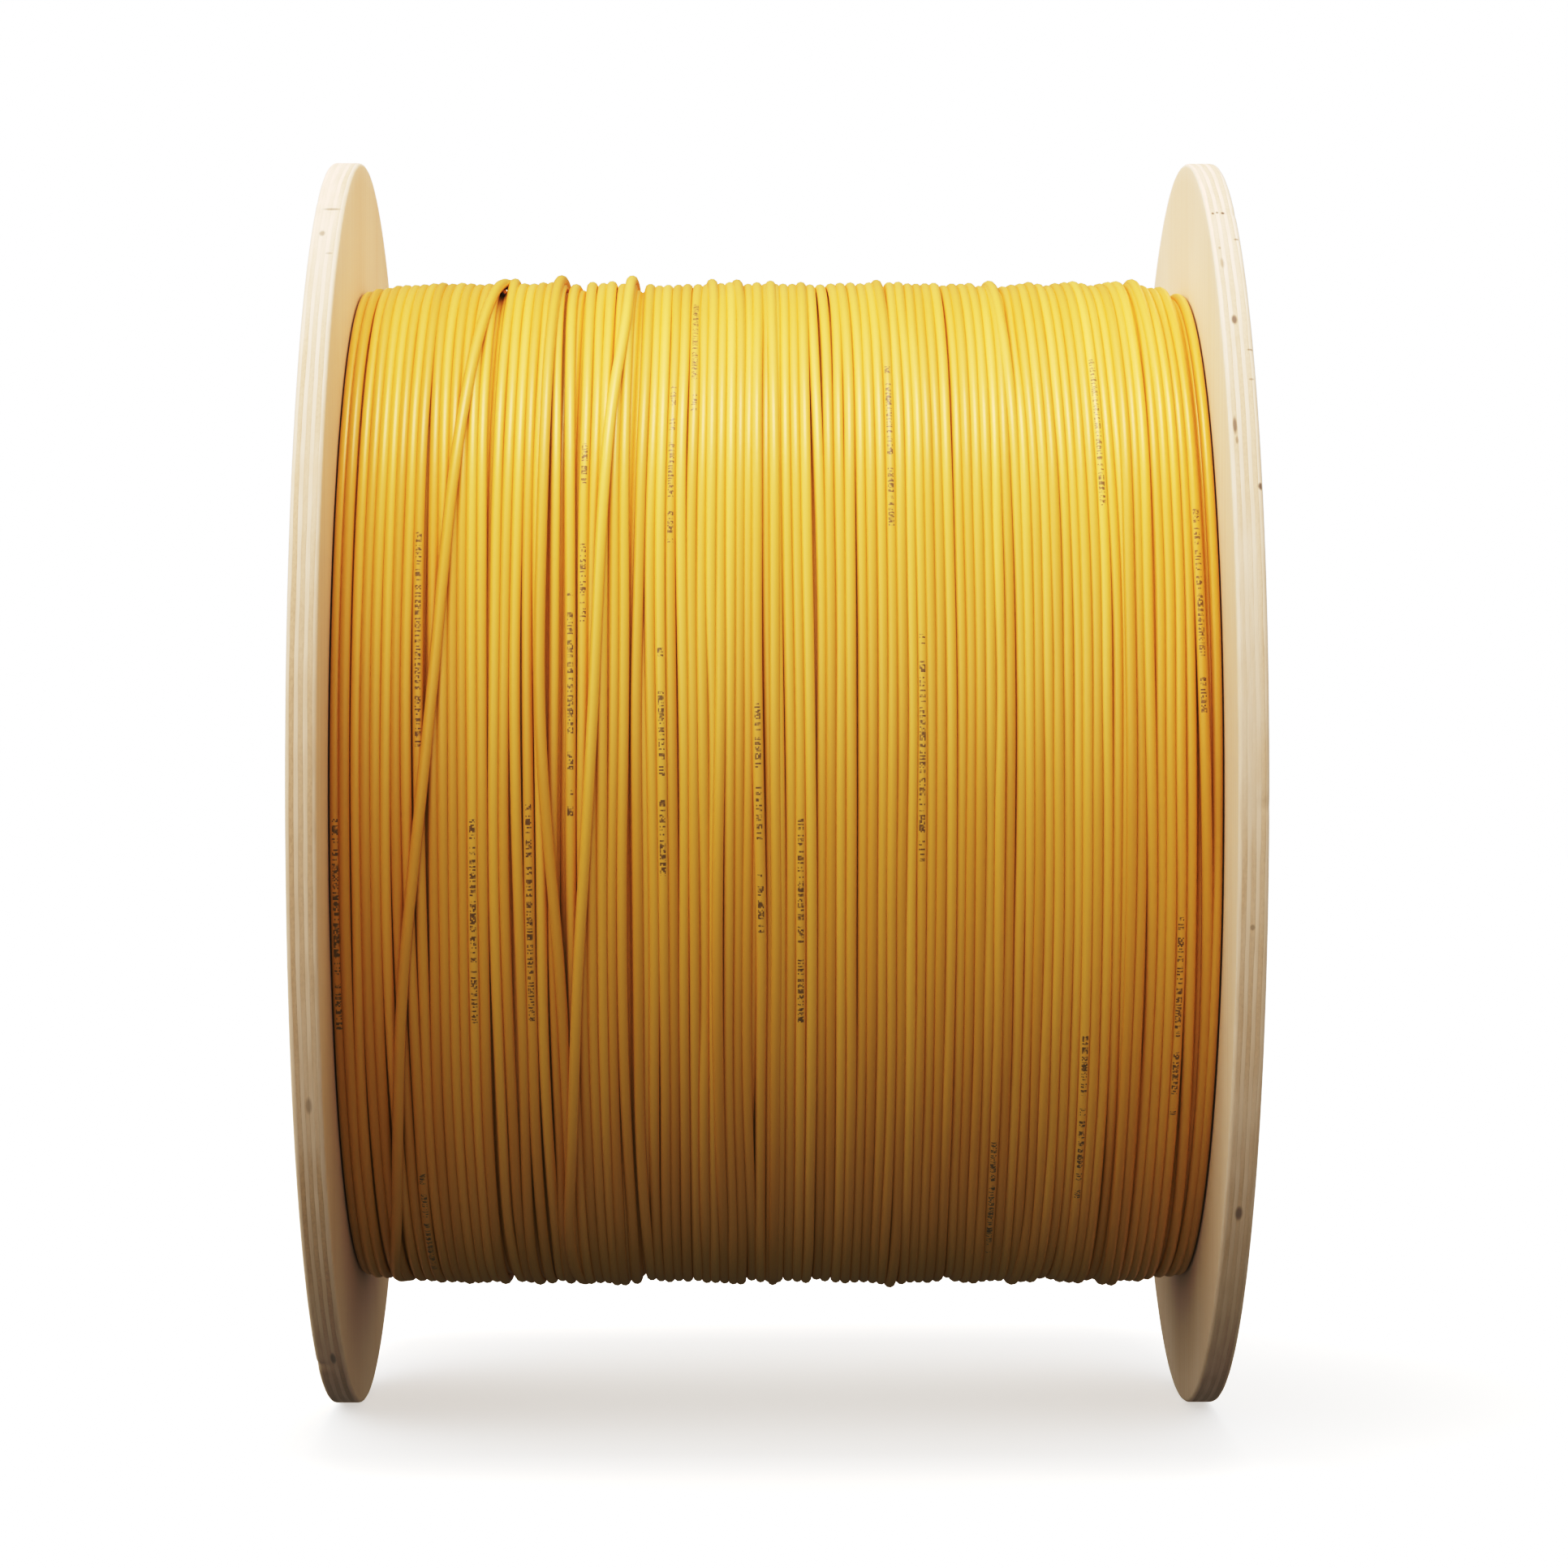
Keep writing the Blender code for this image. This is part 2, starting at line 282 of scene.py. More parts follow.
def makePlywood(name, look, innerFace, outwards, thickness, drilled, tones, marks, seed):
    shader = newShader(name)
    place = shader.place()
    x, y, z = shader.parts(place)
    normal = shader.parts(shader.node("ShaderNodeNewGeometry", output="Normal"))
    flat = abs(normal[0]).within(0.55, 0.9)
    depth = (x - innerFace) * (outwards / thickness)
    angle = z.angleFrom(-1 * y)
    moved = shader.stretched(place, (1, 1, 1), (seed, seed * 0.7, seed * 1.3))

    # the faces: grain up and down, with long flames, fine streaks and pores
    slow = shader.noise(shader.stretched(moved, (1, 5.0, 0.9)), 3.0, 2.0)
    flame = (shader.parts(moved)[1] * 55.0 + slow * 9.0).sine() * 0.5 + 0.5
    streak = shader.noise(shader.stretched(moved, (1, 420.0, 7.0)), 1.0, 3.0, 0.6)
    pores = shader.noise(shader.stretched(moved, (1, 1500.0, 40.0)), 1.0, 2.0)
    pores = pores.within(0.62, 0.74)
    shade = shader.noise(moved, 9.0, 2.0)
    face = shader.blend(flame * 0.40 + streak.within(0.3, 0.75) * 0.60, tones[0], tones[1])
    face = shader.blend(pores * 0.35, face, tones[2])
    face = shader.blend(shade.within(0.45, 0.8) * 0.2, face, tones[2])

    # the edge: plies in turn along and across, and glue lines that show in places
    wave = shader.noise(shader.stretched(moved, (120.0, 14.0, 14.0)), 1.0, 4.0, 0.6)
    layer = (depth + (wave - 0.5) * 0.16) * look["plies"]
    ply = layer.floor()
    crosswise = ply % 2.0
    within = layer - ply
    glue = 1 - abs(within - 0.5).within(0.40, 0.47) * 0.55
    local = shader.chance(ply, seed, 2.0)
    blotch = shader.noise(shader.stretched(moved, (60.0, 26.0, 26.0)), 1.0, 3.0, 0.6)
    fibre = shader.noise(shader.stretched(moved, (900.0, 60.0, 60.0)), 1.0, 2.0)
    endGrain = shader.noise(shader.stretched(moved, (1400.0, 700.0, 700.0)), 1.0, 2.0)
    longPly = shader.blend(fibre.within(0.35, 0.8) * 0.5, look["edgeLong"], look["edgeEnd"])
    endPly = shader.blend(endGrain.within(0.35, 0.7) * 0.45, look["edgeEnd"], look["glue"])
    showing = shader.noise(shader.stretched(moved, (90.0, 11.0, 11.0)), 1.0, 3.0)
    showing = showing.within(0.35, 0.62)
    edge = shader.blend(crosswise * (0.15 + 0.85 * showing), longPly, endPly)
    edge = shader.blend(local * 0.35, edge, look["edgeLong"])
    edge = shader.blend(blotch.within(0.5, 0.85) * 0.5, edge, look["edgeEnd"])
    edge = shader.blend((1 - glue) * showing * 0.5, edge, look["glue"])
    for mark in marks:
        edge = shader.blend(ringMark(angle, depth, mark), edge, look["bruise"])
    colour = shader.blend(flat, edge, face)

    # scorched, darker walls in the drilled holes
    radius = (y * y + z * z).root()
    scorched = (radius < drilled) * (1 - flat)
    colour = shader.blend(scorched * 0.45, colour, look["glue"])

    relief = (streak * 0.6 - pores * 0.6) * flat
    edgeRelief = fibre * (1 - crosswise) + endGrain * crosswise + glue * 0.9
    relief = relief + edgeRelief * (1 - flat)
    normal = shader.bump(relief, 0.00012, 0.6)
    roughness = look["roughness"] + 0.12 * (streak - 0.5)
    return shader.finish({
        "Base Color": colour, "Roughness": roughness, "Normal": normal, "IOR": 1.45,
    })


fibreboardLook = {
    "lapPitch": 0.075,  # of the spiral, along the tube
    "seamWidth": 0.03,  # as a share of the pitch
    "dark": (0.23, 0.145, 0.075),
    "pale": (0.37, 0.245, 0.135),
    "stain": (0.19, 0.115, 0.06),
    "seam": (0.12, 0.07, 0.035),
}


def makeFibreboard(look):
    shader = newShader("spiralFibreboard")
    place = shader.place()
    x, y, z = shader.parts(place)
    wrap = x / look["lapPitch"] + z.angleFrom(y) / (2 * math.pi)
    lap = wrap - wrap.floor()
    seam = 1 - lap.within(0.0, look["seamWidth"])
    fibres = shader.noise(shader.stretched(place, (260, 900, 900)), 1.0, 3.0, 0.65)
    cloud = shader.noise(place, 24.0, 3.0)
    colour = shader.blend(fibres.within(0.3, 0.7), look["dark"], look["pale"])
    colour = shader.blend(cloud.within(0.4, 0.8) * 0.4, colour, look["stain"])
    colour = shader.blend(seam * 0.6, colour, look["seam"])
    normal = shader.bump(fibres - seam, 0.00015, 0.6)
    roughness = 0.82 + 0.1 * cloud
    return shader.finish({"Base Color": colour, "Roughness": roughness, "Normal": normal})


plasticLook = {
    "black": (0.020, 0.020, 0.021),
    "dust": (0.075, 0.070, 0.062),
    "rubbed": (0.055, 0.055, 0.056),
    "rubbedRadii": (0.0202, 0.0216),  # the arbor rubs the rim of the bore
}


def makePlastic(look):
    shader = newShader("blackNylon")
    place = shader.place()
    x, y, z = shader.parts(place)
    grain = shader.noise(place, 1500.0, 2.0)
    cloud = shader.noise(place, 60.0, 3.0)
    radius = (y * y + z * z).root()
    rubbed = (1 - radius.within(*look["rubbedRadii"])) * cloud.within(0.35, 0.65)
    dust = cloud.within(0.5, 0.85)
    colour = shader.blend(dust * 0.35, look["black"], look["dust"])
    colour = shader.blend(rubbed * 0.5, colour, look["rubbed"])
    roughness = 0.46 + 0.18 * dust - 0.16 * rubbed
    normal = shader.bump(grain, 0.00003, 0.6)
    return shader.finish({"Base Color": colour, "Roughness": roughness, "Normal": normal})


zincLook = {
    "bright": (0.66, 0.67, 0.69),
    "dull": (0.50, 0.50, 0.49),
    "glint": (0.78, 0.79, 0.80),
    "whiteRust": (0.72, 0.72, 0.70),
}


def makeZinc(look):
    shader = newShader("zincPlate")
    place = shader.place()
    cloud = shader.noise(place, 130.0, 3.0, 0.6)
    values = {"Vector": place, "Scale": 700.0}
    spangle = shader.node("ShaderNodeTexVoronoi", values=values, output="Color")
    glint = shader.parts(spangle)[0]
    colour = shader.blend(cloud.within(0.3, 0.75), look["bright"], look["dull"])
    colour = shader.blend(glint * 0.15, colour, look["glint"])
    white = shader.noise(place, 420.0, 4.0, 0.7).within(0.66, 0.78)
    colour = shader.blend(white * 0.5, colour, look["whiteRust"])
    metal = 1 - 0.45 * white
    roughness = 0.27 + 0.16 * cloud + 0.25 * white
    brushed = shader.noise(shader.stretched(place, (300, 1800, 1800)), 1.0, 2.0)
    normal = shader.bump(brushed, 0.00002, 0.5)
    return shader.finish({
        "Base Color": colour, "Roughness": roughness, "Metallic": metal, "Normal": normal,
    })


# Mesh tools

sharpAngle = math.radians(40)  # edges sharper than this are rounded
tiny = 1e-5
past = 0.002  # how far a cutter stands out of what it cuts


def meshOf(shape, name):
    mesh = bpy.data.meshes.new(name)
    shape.to_mesh(mesh)
    shape.free()
    return mesh


def newPiece(name, mesh, material, slot, *nodes):
    mesh.materials.clear()
    mesh.materials.append(material)
    piece = bpy.data.objects.new(name, mesh)
    bpy.context.scene.collection.objects.link(piece)
    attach(piece, "root")
    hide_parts(*nodes)
    return piece


def turned(profile, steps, centre=(0.0, 0.0)):  # (x, radius) points, turned about X
    shape = bmesh.new()
    ring = [shape.verts.new((x, centre[0], centre[1] + radius)) for x, radius in profile]
    onAxis = profile[0][1] == 0 and profile[-1][1] == 0
    pairs = list(zip(ring, ring[1:])) + ([] if onAxis else [(ring[-1], ring[0])])
    edges = [shape.edges.new(pair) for pair in pairs]
    bmesh.ops.spin(
        shape, geom=ring + edges, cent=(0, *centre), axis=(1, 0, 0),
        angle=2 * math.pi, steps=steps, use_merge=True,
    )
    bmesh.ops.remove_doubles(shape, verts=shape.verts, dist=1e-7)
    bmesh.ops.recalc_face_normals(shape, faces=shape.faces)
    return shape


def softenEdges(shape, width, segments, chosen=lambda edge: True):
    edges = [
        edge for edge in shape.edges
        if edge.is_manifold and edge.calc_face_angle() > sharpAngle and chosen(edge)
    ]
    corners = list({vert for edge in edges for vert in edge.verts})
    bmesh.ops.bevel(
        shape, geom=edges + corners, offset=width, offset_type="OFFSET", affect="EDGES",
        segments=segments, profile=0.5, material=-1, clamp_overlap=True,
    )


def cutAway(shape, cutters):  # shape less every cutter, which don't touch each other
    body = bpy.data.objects.new("body", meshOf(shape, "body"))
    whole = bmesh.new()
    for cutter in cutters:
        mesh = meshOf(cutter, "cutter")
        whole.from_mesh(mesh)
        bpy.data.meshes.remove(mesh)
    tool = bpy.data.objects.new("tool", meshOf(whole, "tool"))
    for helper in (body, tool):
        bpy.context.scene.collection.objects.link(helper)
    boolean = body.modifiers.new("cut", "BOOLEAN")
    boolean.operation = "DIFFERENCE"
    boolean.object = tool
    bpy.context.view_layer.update()
    graph = bpy.context.evaluated_depsgraph_get()
    result = bmesh.new()
    result.from_mesh(body.evaluated_get(graph).to_mesh())
    for helper in (body, tool):
        mesh = helper.data
        bpy.data.objects.remove(helper)
        bpy.data.meshes.remove(mesh)
    return result


def smoothShade(piece, angle=35):
    piece.data.shade_smooth()
    piece.data.set_sharp_from_angle(angle=math.radians(angle))


def storeValues(mesh, values):  # for each name, one number for all vertices or one for each
    for name, value in values.items():
        layer = mesh.attributes.new(name, "FLOAT", "POINT")
        layer.data.foreach_set("value", np.full(len(mesh.vertices), value, np.float32))


def ends(node, side):  # which way is outwards, and x of the outer and the inner end
    low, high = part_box(node)
    return (1, high.x, low.x) if side == "right" else (-1, low.x, high.x)


def middle(node):  # (y, z) of a node's centre
    low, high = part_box(node)
    return (low.y + high.y) / 2, (low.z + high.z) / 2


def radiusOf(node):
    low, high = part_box(node)
    return (high.y - low.y) / 2


# The cable

windingShape = {
    "diameter": 0.003,
    "pitch": 0.0029,  # from turn to turn
    "bulge": 1.15,  # pressed together, the turns leave shallow grooves
    "coreRadius": 0.155,  # centres of the strands under the drawn layers
    "barrelGap": 0.0003,
    "layers": 2,
    "contact": 0.94,  # spacing of touching strands, in diameters
    "rise": 0.9,  # height of a layer, in spacings
    "stations": 240,  # points in a turn
    "sides": 10,
    "slowNoise": 0.38,  # sideways errors of the lay, in diameters, and their reach in turns
    "slowReach": 2.0,
    "quickNoise": 0.12,
    "quickReach": 0.20,
    "near": 3,  # further away than this many diameters, no turn carries the new one
    "slides": 30,  # steps in which a turn slides into its groove
    "slide": 0.075,  # sideways move for a slope of 1, in diameters
    "pull": 0.05,  # share of the way back to the turn's own place
    "placeBlur": 4.5,  # in stations, as are the next four
    "radiusBlur": 2.0,
    "wanderBlur": 4.0,
    "placeJoin": 24,  # length over which a turn leaves the end of the turn before
    "radiusJoin": 12,
    "bridge": 0.06,  # how far a tight strand can span, in metres
    "bridgeSag": 1.3,  # curve of the span, where the winding's own curve is 1
    "uneven": 0.12,  # how far a turn dips between its neighbours, in diameters
    "dipReach": 0.6,  # in turns
    "sink": 0.55,  # how much of its height a strand keeps where it lies on top of the others
    "wanderSink": (0.15, 0.90),  # the same for a wandering turn, at the two angles below
    "wanderAngles": (-88, -60),
    "drop": 0.0024,  # how far the layers fall away beside the flanges
    "squareness": 12,
    "seed": 7,
    "pieces": 3,  # for each layer
    "crownSteps": 6,  # the core's profile, for each turn
    "coreSteps": 96,
}

# Turns that wander over their neighbours: where they start along the axis, and (angle, place)
# points, with the angle 90 on top, 0 at the front and -90 below, and the place in metres.
wanderers = [
    (-0.0860, [(104, -0.0800), (90, -0.0835), (62, -0.0905), (36, -0.0962), (12, -0.1005),
               (-6, -0.1056), (-20, -0.1105), (-34, -0.1128), (-55, -0.1160), (-75, -0.1205)]),
    (-0.0450, [(60, -0.0460), (44, -0.0500), (28, -0.0520), (8, -0.0538), (-6, -0.0560),
               (-22, -0.0592), (-38, -0.0608), (-58, -0.0640)]),
    (-0.0650, [(8, -0.0700), (-2, -0.0683), (-12, -0.0655), (-24, -0.0632), (-40, -0.0625)]),
]


def blurred(values, reach):
    half = max(1, int(3 * reach))
    weights = np.exp(-0.5 * (np.arange(-half, half + 1) / reach) ** 2)
    padded = np.pad(values, half, mode="edge")
    return np.convolve(padded, weights / weights.sum(), mode="valid")


def drift(random, length, reach):  # smooth noise of unit size
    step = max(1, int(reach / 4))
    coarse = blurred(random.standard_normal(length // step + 3), reach / step)
    return np.interp(np.arange(length), np.arange(len(coarse)) * step, coarse / coarse.std())


def eased(share):
    share = np.clip(share, 0, 1)
    return share * share * (3 - 2 * share)


def frontAngle(stations):  # degrees: 180 at the seam behind, 90 on top, 0 in front, -90 below
    return 180 - 360 * np.arange(stations + 1) / stations


def wandered(path, points, angles, blur):
    degrees = np.array([degree for degree, _ in points][::-1], float)
    places = np.array([place for _, place in points][::-1])
    inside = (angles <= degrees[-1]) & (angles >= degrees[0])
    joined = path.copy()
    joined[inside] = np.interp(angles[inside], degrees, places)
    first, last = np.flatnonzero(inside)[[0, -1]]
    before = eased(np.linspace(0, 1, first + 1))
    joined[: first + 1] = path[: first + 1] + before * (joined[first] - path[first])
    after = eased(np.linspace(1, 0, len(path) - last))
    joined[last:] = path[last:] + after * (joined[last] - path[last])
    return blurred(joined, blur)


def stackHeight(x, besideX, besideR, reach):  # how high a strand at x rests on others
    apart = np.abs(x[None] - besideX)
    lift = np.sqrt(np.maximum(reach * reach - apart * apart, 0))
    return np.where(apart < reach, besideR + lift, 0)


def slideDown(guide, start, limit, besideX, besideR, shape):  # from the guide into the groove
    reach = shape["contact"] * shape["diameter"]
    column = np.arange(len(guide))
    ease = eased(column / shape["placeJoin"])
    x = start + (guide - start) * ease
    for _ in range(shape["slides"]):
        heights = stackHeight(x, besideX, besideR, reach)
        most = heights.argmax(0)
        apart = x - besideX[most, column]
        lift = np.sqrt(np.maximum(reach * reach - apart * apart, 1e-10))
        slope = np.where(heights[most, column] > 0, apart / lift, 0)
        fall = shape["slide"] * shape["diameter"] * np.clip(slope, -1.5, 1.5)
        x = x + fall + shape["pull"] * (guide - x)
        x = blurred(x, shape["placeBlur"])
        x = np.clip(start + (x - start) * ease, -limit, limit)
    return x


def tautRadius(under, arc, shape):  # a tight strand bridges dips in what it lies on
    reach = int(shape["bridge"] / arc)
    padded = np.pad(under, reach, mode="edge")
    bridged = []
    for shift in range(-reach, reach + 1):
        sag = shape["bridgeSag"] * (shift * arc) ** 2 / (2 * shape["coreRadius"])
        bridged.append(padded[reach + shift : reach + shift + len(under)] - sag)
    return np.max(bridged, axis=0)


def layGuides(random, total, limit, shape):  # where each turn would lie by itself
    stations = shape["stations"]
    guides = np.linspace(-limit, limit, total)
    slow = drift(random, total, stations * shape["slowReach"])
    guides += shape["diameter"] * shape["slowNoise"] * slow
    quick = drift(random, total, stations * shape["quickReach"])
    guides += shape["diameter"] * shape["quickNoise"] * quick
    return np.clip(guides, -limit, limit)


def carriers(placeX, placeR, level, layer, guide, reach):  # turns that can carry a new one
    chosen = [i for i in range(len(placeX))
              if level[i] >= layer - 1 and np.abs(placeX[i] - guide).min() < reach]
    return np.array([placeX[i] for i in chosen]), np.array([placeR[i] for i in chosen])


def layCable(shape, halfWidth):
    random = np.random.default_rng(shape["seed"])
    diameter, stations, core = shape["diameter"], shape["stations"], shape["coreRadius"]
    limit = halfWidth - shape["bulge"] * diameter / 2
    turns = int(2 * halfWidth / shape["pitch"])
    arc = 2 * math.pi * core / stations
    angles = frontAngle(stations)
    reach = shape["contact"] * diameter
    lowest, highest = shape["wanderSink"]
    lower, upper = shape["wanderAngles"]
    wanderSink = lowest + (highest - lowest) * eased((angles - lower) / (upper - lower))
    rings = np.linspace(-limit, limit, turns)
    placeX = [np.full(stations + 1, ring) for ring in rings]
    placeR = [np.full(stations + 1, core) for _ in rings]
    level = [0] * turns
    for layer in range(1, shape["layers"] + 1):
        total = turns * stations + 1
        guides = layGuides(random, total, limit, shape)
        if layer < shape["layers"]:
            guides = -guides
        dips = np.clip(drift(random, total, stations * shape["dipReach"]), -0.5, 2)
        for turn in range(turns):
            own = slice(turn * stations, (turn + 1) * stations + 1)
            guide = guides[own]
            start = placeX[-1][-1] if turn else guide[0]
            beside = carriers(placeX, placeR, level, layer, guide, shape["near"] * diameter)
            x = slideDown(guide, start, limit, *beside, shape)
            straying = [points for place, points in wanderers if layer == shape["layers"]
                        and turn == int((place + limit) / (2 * limit) * turns)]
            for points in straying:
                x = wandered(x, points, angles, shape["wanderBlur"])
                beside = carriers(placeX, placeR, level, layer, guide, math.inf)
            under = np.maximum(core, stackHeight(x, *beside, reach).max(0))
            radius = tautRadius(under, arc, shape)
            settled = core + layer * reach * shape["rise"]
            stay = wanderSink if straying else shape["sink"]
            radius = np.minimum(radius, settled + stay * (radius - settled))
            radius -= diameter * shape["uneven"] * dips[own]
            if turn:
                keep = eased(1 - np.arange(stations + 1) / shape["radiusJoin"])
                radius = radius * (1 - keep) + np.maximum(radius, placeR[-1][-1]) * keep
            radius = blurred(radius, shape["radiusBlur"])
            if turn:
                radius[0] = placeR[-1][-1]
            placeX.append(x)
            placeR.append(radius)
            level.append(layer)
    placeX, placeR = np.array(placeX), np.array(placeR)
    placeR -= shape["drop"] * (np.abs(placeX) / halfWidth) ** shape["squareness"]
    return placeX, placeR, np.array(level), angles


def makeCore(shape, halfWidth, material):  # the turns that hardly show
    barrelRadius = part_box("barrel_tube")[1].z + shape["barrelGap"]
    turns = int(2 * halfWidth / shape["pitch"])
    pitch = 2 * halfWidth / turns
    steps = shape["crownSteps"]
    crown = []
    for turn in range(turns):
        for step in range(steps):
            angle = math.pi * (step + 0.5) / steps
            x = -halfWidth + pitch * (turn + 0.5 - 0.5 * math.cos(angle))
            fall = shape["drop"] * (abs(x) / halfWidth) ** shape["squareness"]
            height = shape["diameter"] / 2 * math.sin(angle) - fall
            crown.append((x, shape["coreRadius"] + height))
    base = [(halfWidth, barrelRadius), (-halfWidth, barrelRadius)]
    mesh = meshOf(turned(crown + base, shape["coreSteps"]), "cableCore")
    core = newPiece("cableCore", mesh, material, "cable_jacket", "cable_winding")
    storeValues(core.data, {"along": 0.0, "side": 1.0, "outward": 0.0, "print": 0.0})
    smoothShade(core, 70)


def makeStrands(name, centres, along, printed, shape, material):  # one run of whole turns
    sides, radius = shape["sides"], shape["diameter"] / 2
    curve = bpy.data.curves.new(name, "CURVE")
    curve.dimensions = "3D"
    curve.bevel_depth = shape["bulge"] * radius
    curve.bevel_resolution = (sides - 4) // 2
    curve.use_fill_caps = False
    curve.twist_mode = "MINIMUM"
    spline = curve.splines.new("POLY")
    spline.points.add(len(centres) - 1)
    spline.points.foreach_set("co", np.column_stack([centres, np.ones(len(centres))]).ravel())
    guide = bpy.data.objects.new(name + "Guide", curve)
    bpy.context.scene.collection.objects.link(guide)
    bpy.context.view_layer.update()
    graph = bpy.context.evaluated_depsgraph_get()
    mesh = bpy.data.meshes.new_from_object(guide.evaluated_get(graph))
    bpy.data.objects.remove(guide)
    bpy.data.curves.remove(curve)
    bakeMap(mesh, sides, shape["stations"])
    closed = bmesh.new()
    closed.from_mesh(mesh)
    rims = [edge for edge in closed.edges if edge.is_boundary]
    bmesh.ops.holes_fill(closed, edges=rims, sides=sides)
    closed.to_mesh(mesh)
    closed.free()
    points = np.empty(len(mesh.vertices) * 3, np.float32)
    mesh.vertices.foreach_get("co", points)
    offsets = points.reshape(-1, 3) - np.repeat(centres, sides, axis=0)
    radial = centres * (0, 1, 1)
    radial /= np.linalg.norm(radial, axis=1)[:, None]
    storeValues(mesh, {
        "along": np.repeat(along, sides),
        "side": offsets[:, 0] / radius,
        "outward": (offsets * np.repeat(radial, sides, axis=0)).sum(1) / radius,
        "print": np.repeat(printed, sides),
    })
    mesh.shade_smooth()
    newPiece(name, mesh, material, "cable_jacket", "cable_winding")


def bakeMap(mesh, sides, stations):  # one strip of the map for each turn
    gap, border = 0.04, 0.002  # what stays free beside a strip, and around the whole map
    vertex = np.empty(len(mesh.loops), np.int32)
    mesh.loops.foreach_get("vertex_index", vertex)
    vertex = vertex.reshape(-1, 4)
    station, ring = vertex // sides, vertex % sides
    turn = station.min(1, keepdims=True) // stations
    turns = int(turn.max()) + 1
    wraps = (ring.max(1, keepdims=True) == sides - 1) & (ring.min(1, keepdims=True) == 0)
    ring = np.where(wraps & (ring == 0), sides, ring)
    across = gap + (1 - 2 * gap) * ring / sides
    places = np.stack([(station - turn * stations) / stations, (turn + across) / turns], -1)
    places = border + (1 - 2 * border) * places
    layer = mesh.uv_layers.new(name="OFBake")
    layer.uv.foreach_set("vector", places.astype(np.float32).ravel())


printRuns = {
    "length": 0.064,
    # (place along the axis in mm, angle of the run's upper end in degrees) of the runs in front
    "front": [
        (-104, 28), (-89, -3), (-72, -3), (-34, 14), (-31, 50), (-4, 8), (0, 44), (33, 52),
        (44, 15), (124, 30), (-134, -4), (-108, -48), (-26, 68), (92, -28), (96, 55), (-58, 40),
        (-62, 20), (8, -4), (66, -42), (118, -14),
    ],
    "behind": 40,  # how many more, and where
    "behindAngles": (100, 250),
    "behindPlaces": (-0.128, 0.128),
    "seed": 11,
}


def printedStations(placeX, top, angles, runs, coreRadius):  # 1 where a turn shows its print
    marked = np.zeros(placeX.shape)
    random = np.random.default_rng(runs["seed"])
    width = np.degrees(runs["length"] / coreRadius)
    spots = [(x / 1000, start) for x, start in runs["front"]]
    for _ in range(runs["behind"]):
        start = random.uniform(*runs["behindAngles"])
        spots.append((random.uniform(*runs["behindPlaces"]), start))
    for x, start in spots:
        end = start - width
        centre = (start + end) / 2
        wrapped = (centre + 180) % 360 - 180
        column = np.abs(angles - wrapped).argmin()
        nearest = top[np.abs(placeX[top, column] - x).argmin()]
        away = (angles - centre + 180) % 360 - 180
        marked[nearest] = np.maximum(marked[nearest], np.abs(away) < width / 2)
    return marked


def joinedTurns(rows, values):  # the values of turns one after another, each seam only once
    return np.concatenate([values[rows[0], :1]] + [values[row, 1:] for row in rows])


def makeWinding(shape, material):
    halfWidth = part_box("cable_winding")[1].x
    placeX, placeR, level, angles = layCable(shape, halfWidth)
    means = [round(float(placeR[level == layer].mean()), 4) for layer in range(level.max() + 1)]
    print("cable laid: mean radius by layer", means, "highest", round(float(placeR.max()), 4))
    top = np.flatnonzero(level == shape["layers"])
    printed = printedStations(placeX, top, angles, printRuns, shape["coreRadius"])
    makeCore(shape, halfWidth, material)
    theta = np.broadcast_to(np.radians(angles), placeX.shape)
    length = 0.0
    for layer in range(1, shape["layers"] + 1):
        rows = np.flatnonzero(level == layer)
        for number, part in enumerate(np.array_split(rows, shape["pieces"])):
            x, radius, turn, marks = (
                joinedTurns(part, values) for values in (placeX, placeR, theta, printed))
            centres = np.column_stack([x, -radius * np.cos(turn), radius * np.sin(turn)])
            steps = np.linalg.norm(np.diff(centres, axis=0), axis=1)
            along = length + np.concatenate([[0], np.cumsum(steps)])
            length = along[-1]
            name = f"cableLayer{layer}Turns{number + 1}"
            makeStrands(name, centres, along, marks, shape, material)
    print("cable made:", np.count_nonzero(level), "turns,", round(length), "m")


# The flanges

flangeShape = {
    "steps": 720,
    "rimRounding": 0.0012,
    "recessRounding": 0.0003,
    "faceRing": 0.006,  # width of the outermost ring of each face
    "rimLoops": (0, 0.25, 0.4, 0.5, 0.6, 0.75, 1),  # in the thickness, so that the rim can wear
    "wornWidth": 0.004,
    "ripple": (0.00006, 37, 23),  # height, and how many waves of two kinds go round the rim
    "bore": 0.0233,
    "collarRecess": (0.0313, 0.0028),  # radius and depth
    "washerRecess": (0.0123, 0.0046),
    "rodHole": 0.0048,
    "driveHole": 0.009,
    "startHole": 0.005,
    "startHeight": 0.008,  # of the start hole's centre over the barrel
    "holeSteps": 64,
}
# (angle, half length in degrees, depth in the thickness, half height, how deep in metres)
rimChips = {
    "left": [
        (-64, 0.9, 1.0, 0.35, 0.0009), (64, 0.6, 1.0, 0.3, 0.0004), (151, 1.0, 0.0, 0.3, 0.0006),
    ],
    "right": [
        (61, 0.7, 1.0, 0.3, 0.0006), (-2, 0.5, 1.0, 0.3, 0.0005), (-128, 1.2, 0.0, 0.4, 0.0007),
    ],
}


def rimWear(angle, depth, shape, chips, seed):  # how far the rim is worn in
    height, first, second = shape["ripple"]
    worn = height * (1 + math.sin(angle * first + seed) * math.sin(angle * second + 2 * seed))
    for at, wide, across, high, deep in chips:
        away = (math.degrees(angle) - at + 180) % 360 - 180
        worn += deep * math.exp(-((away / wide) ** 2) - ((depth - across) / high) ** 2)
    return worn


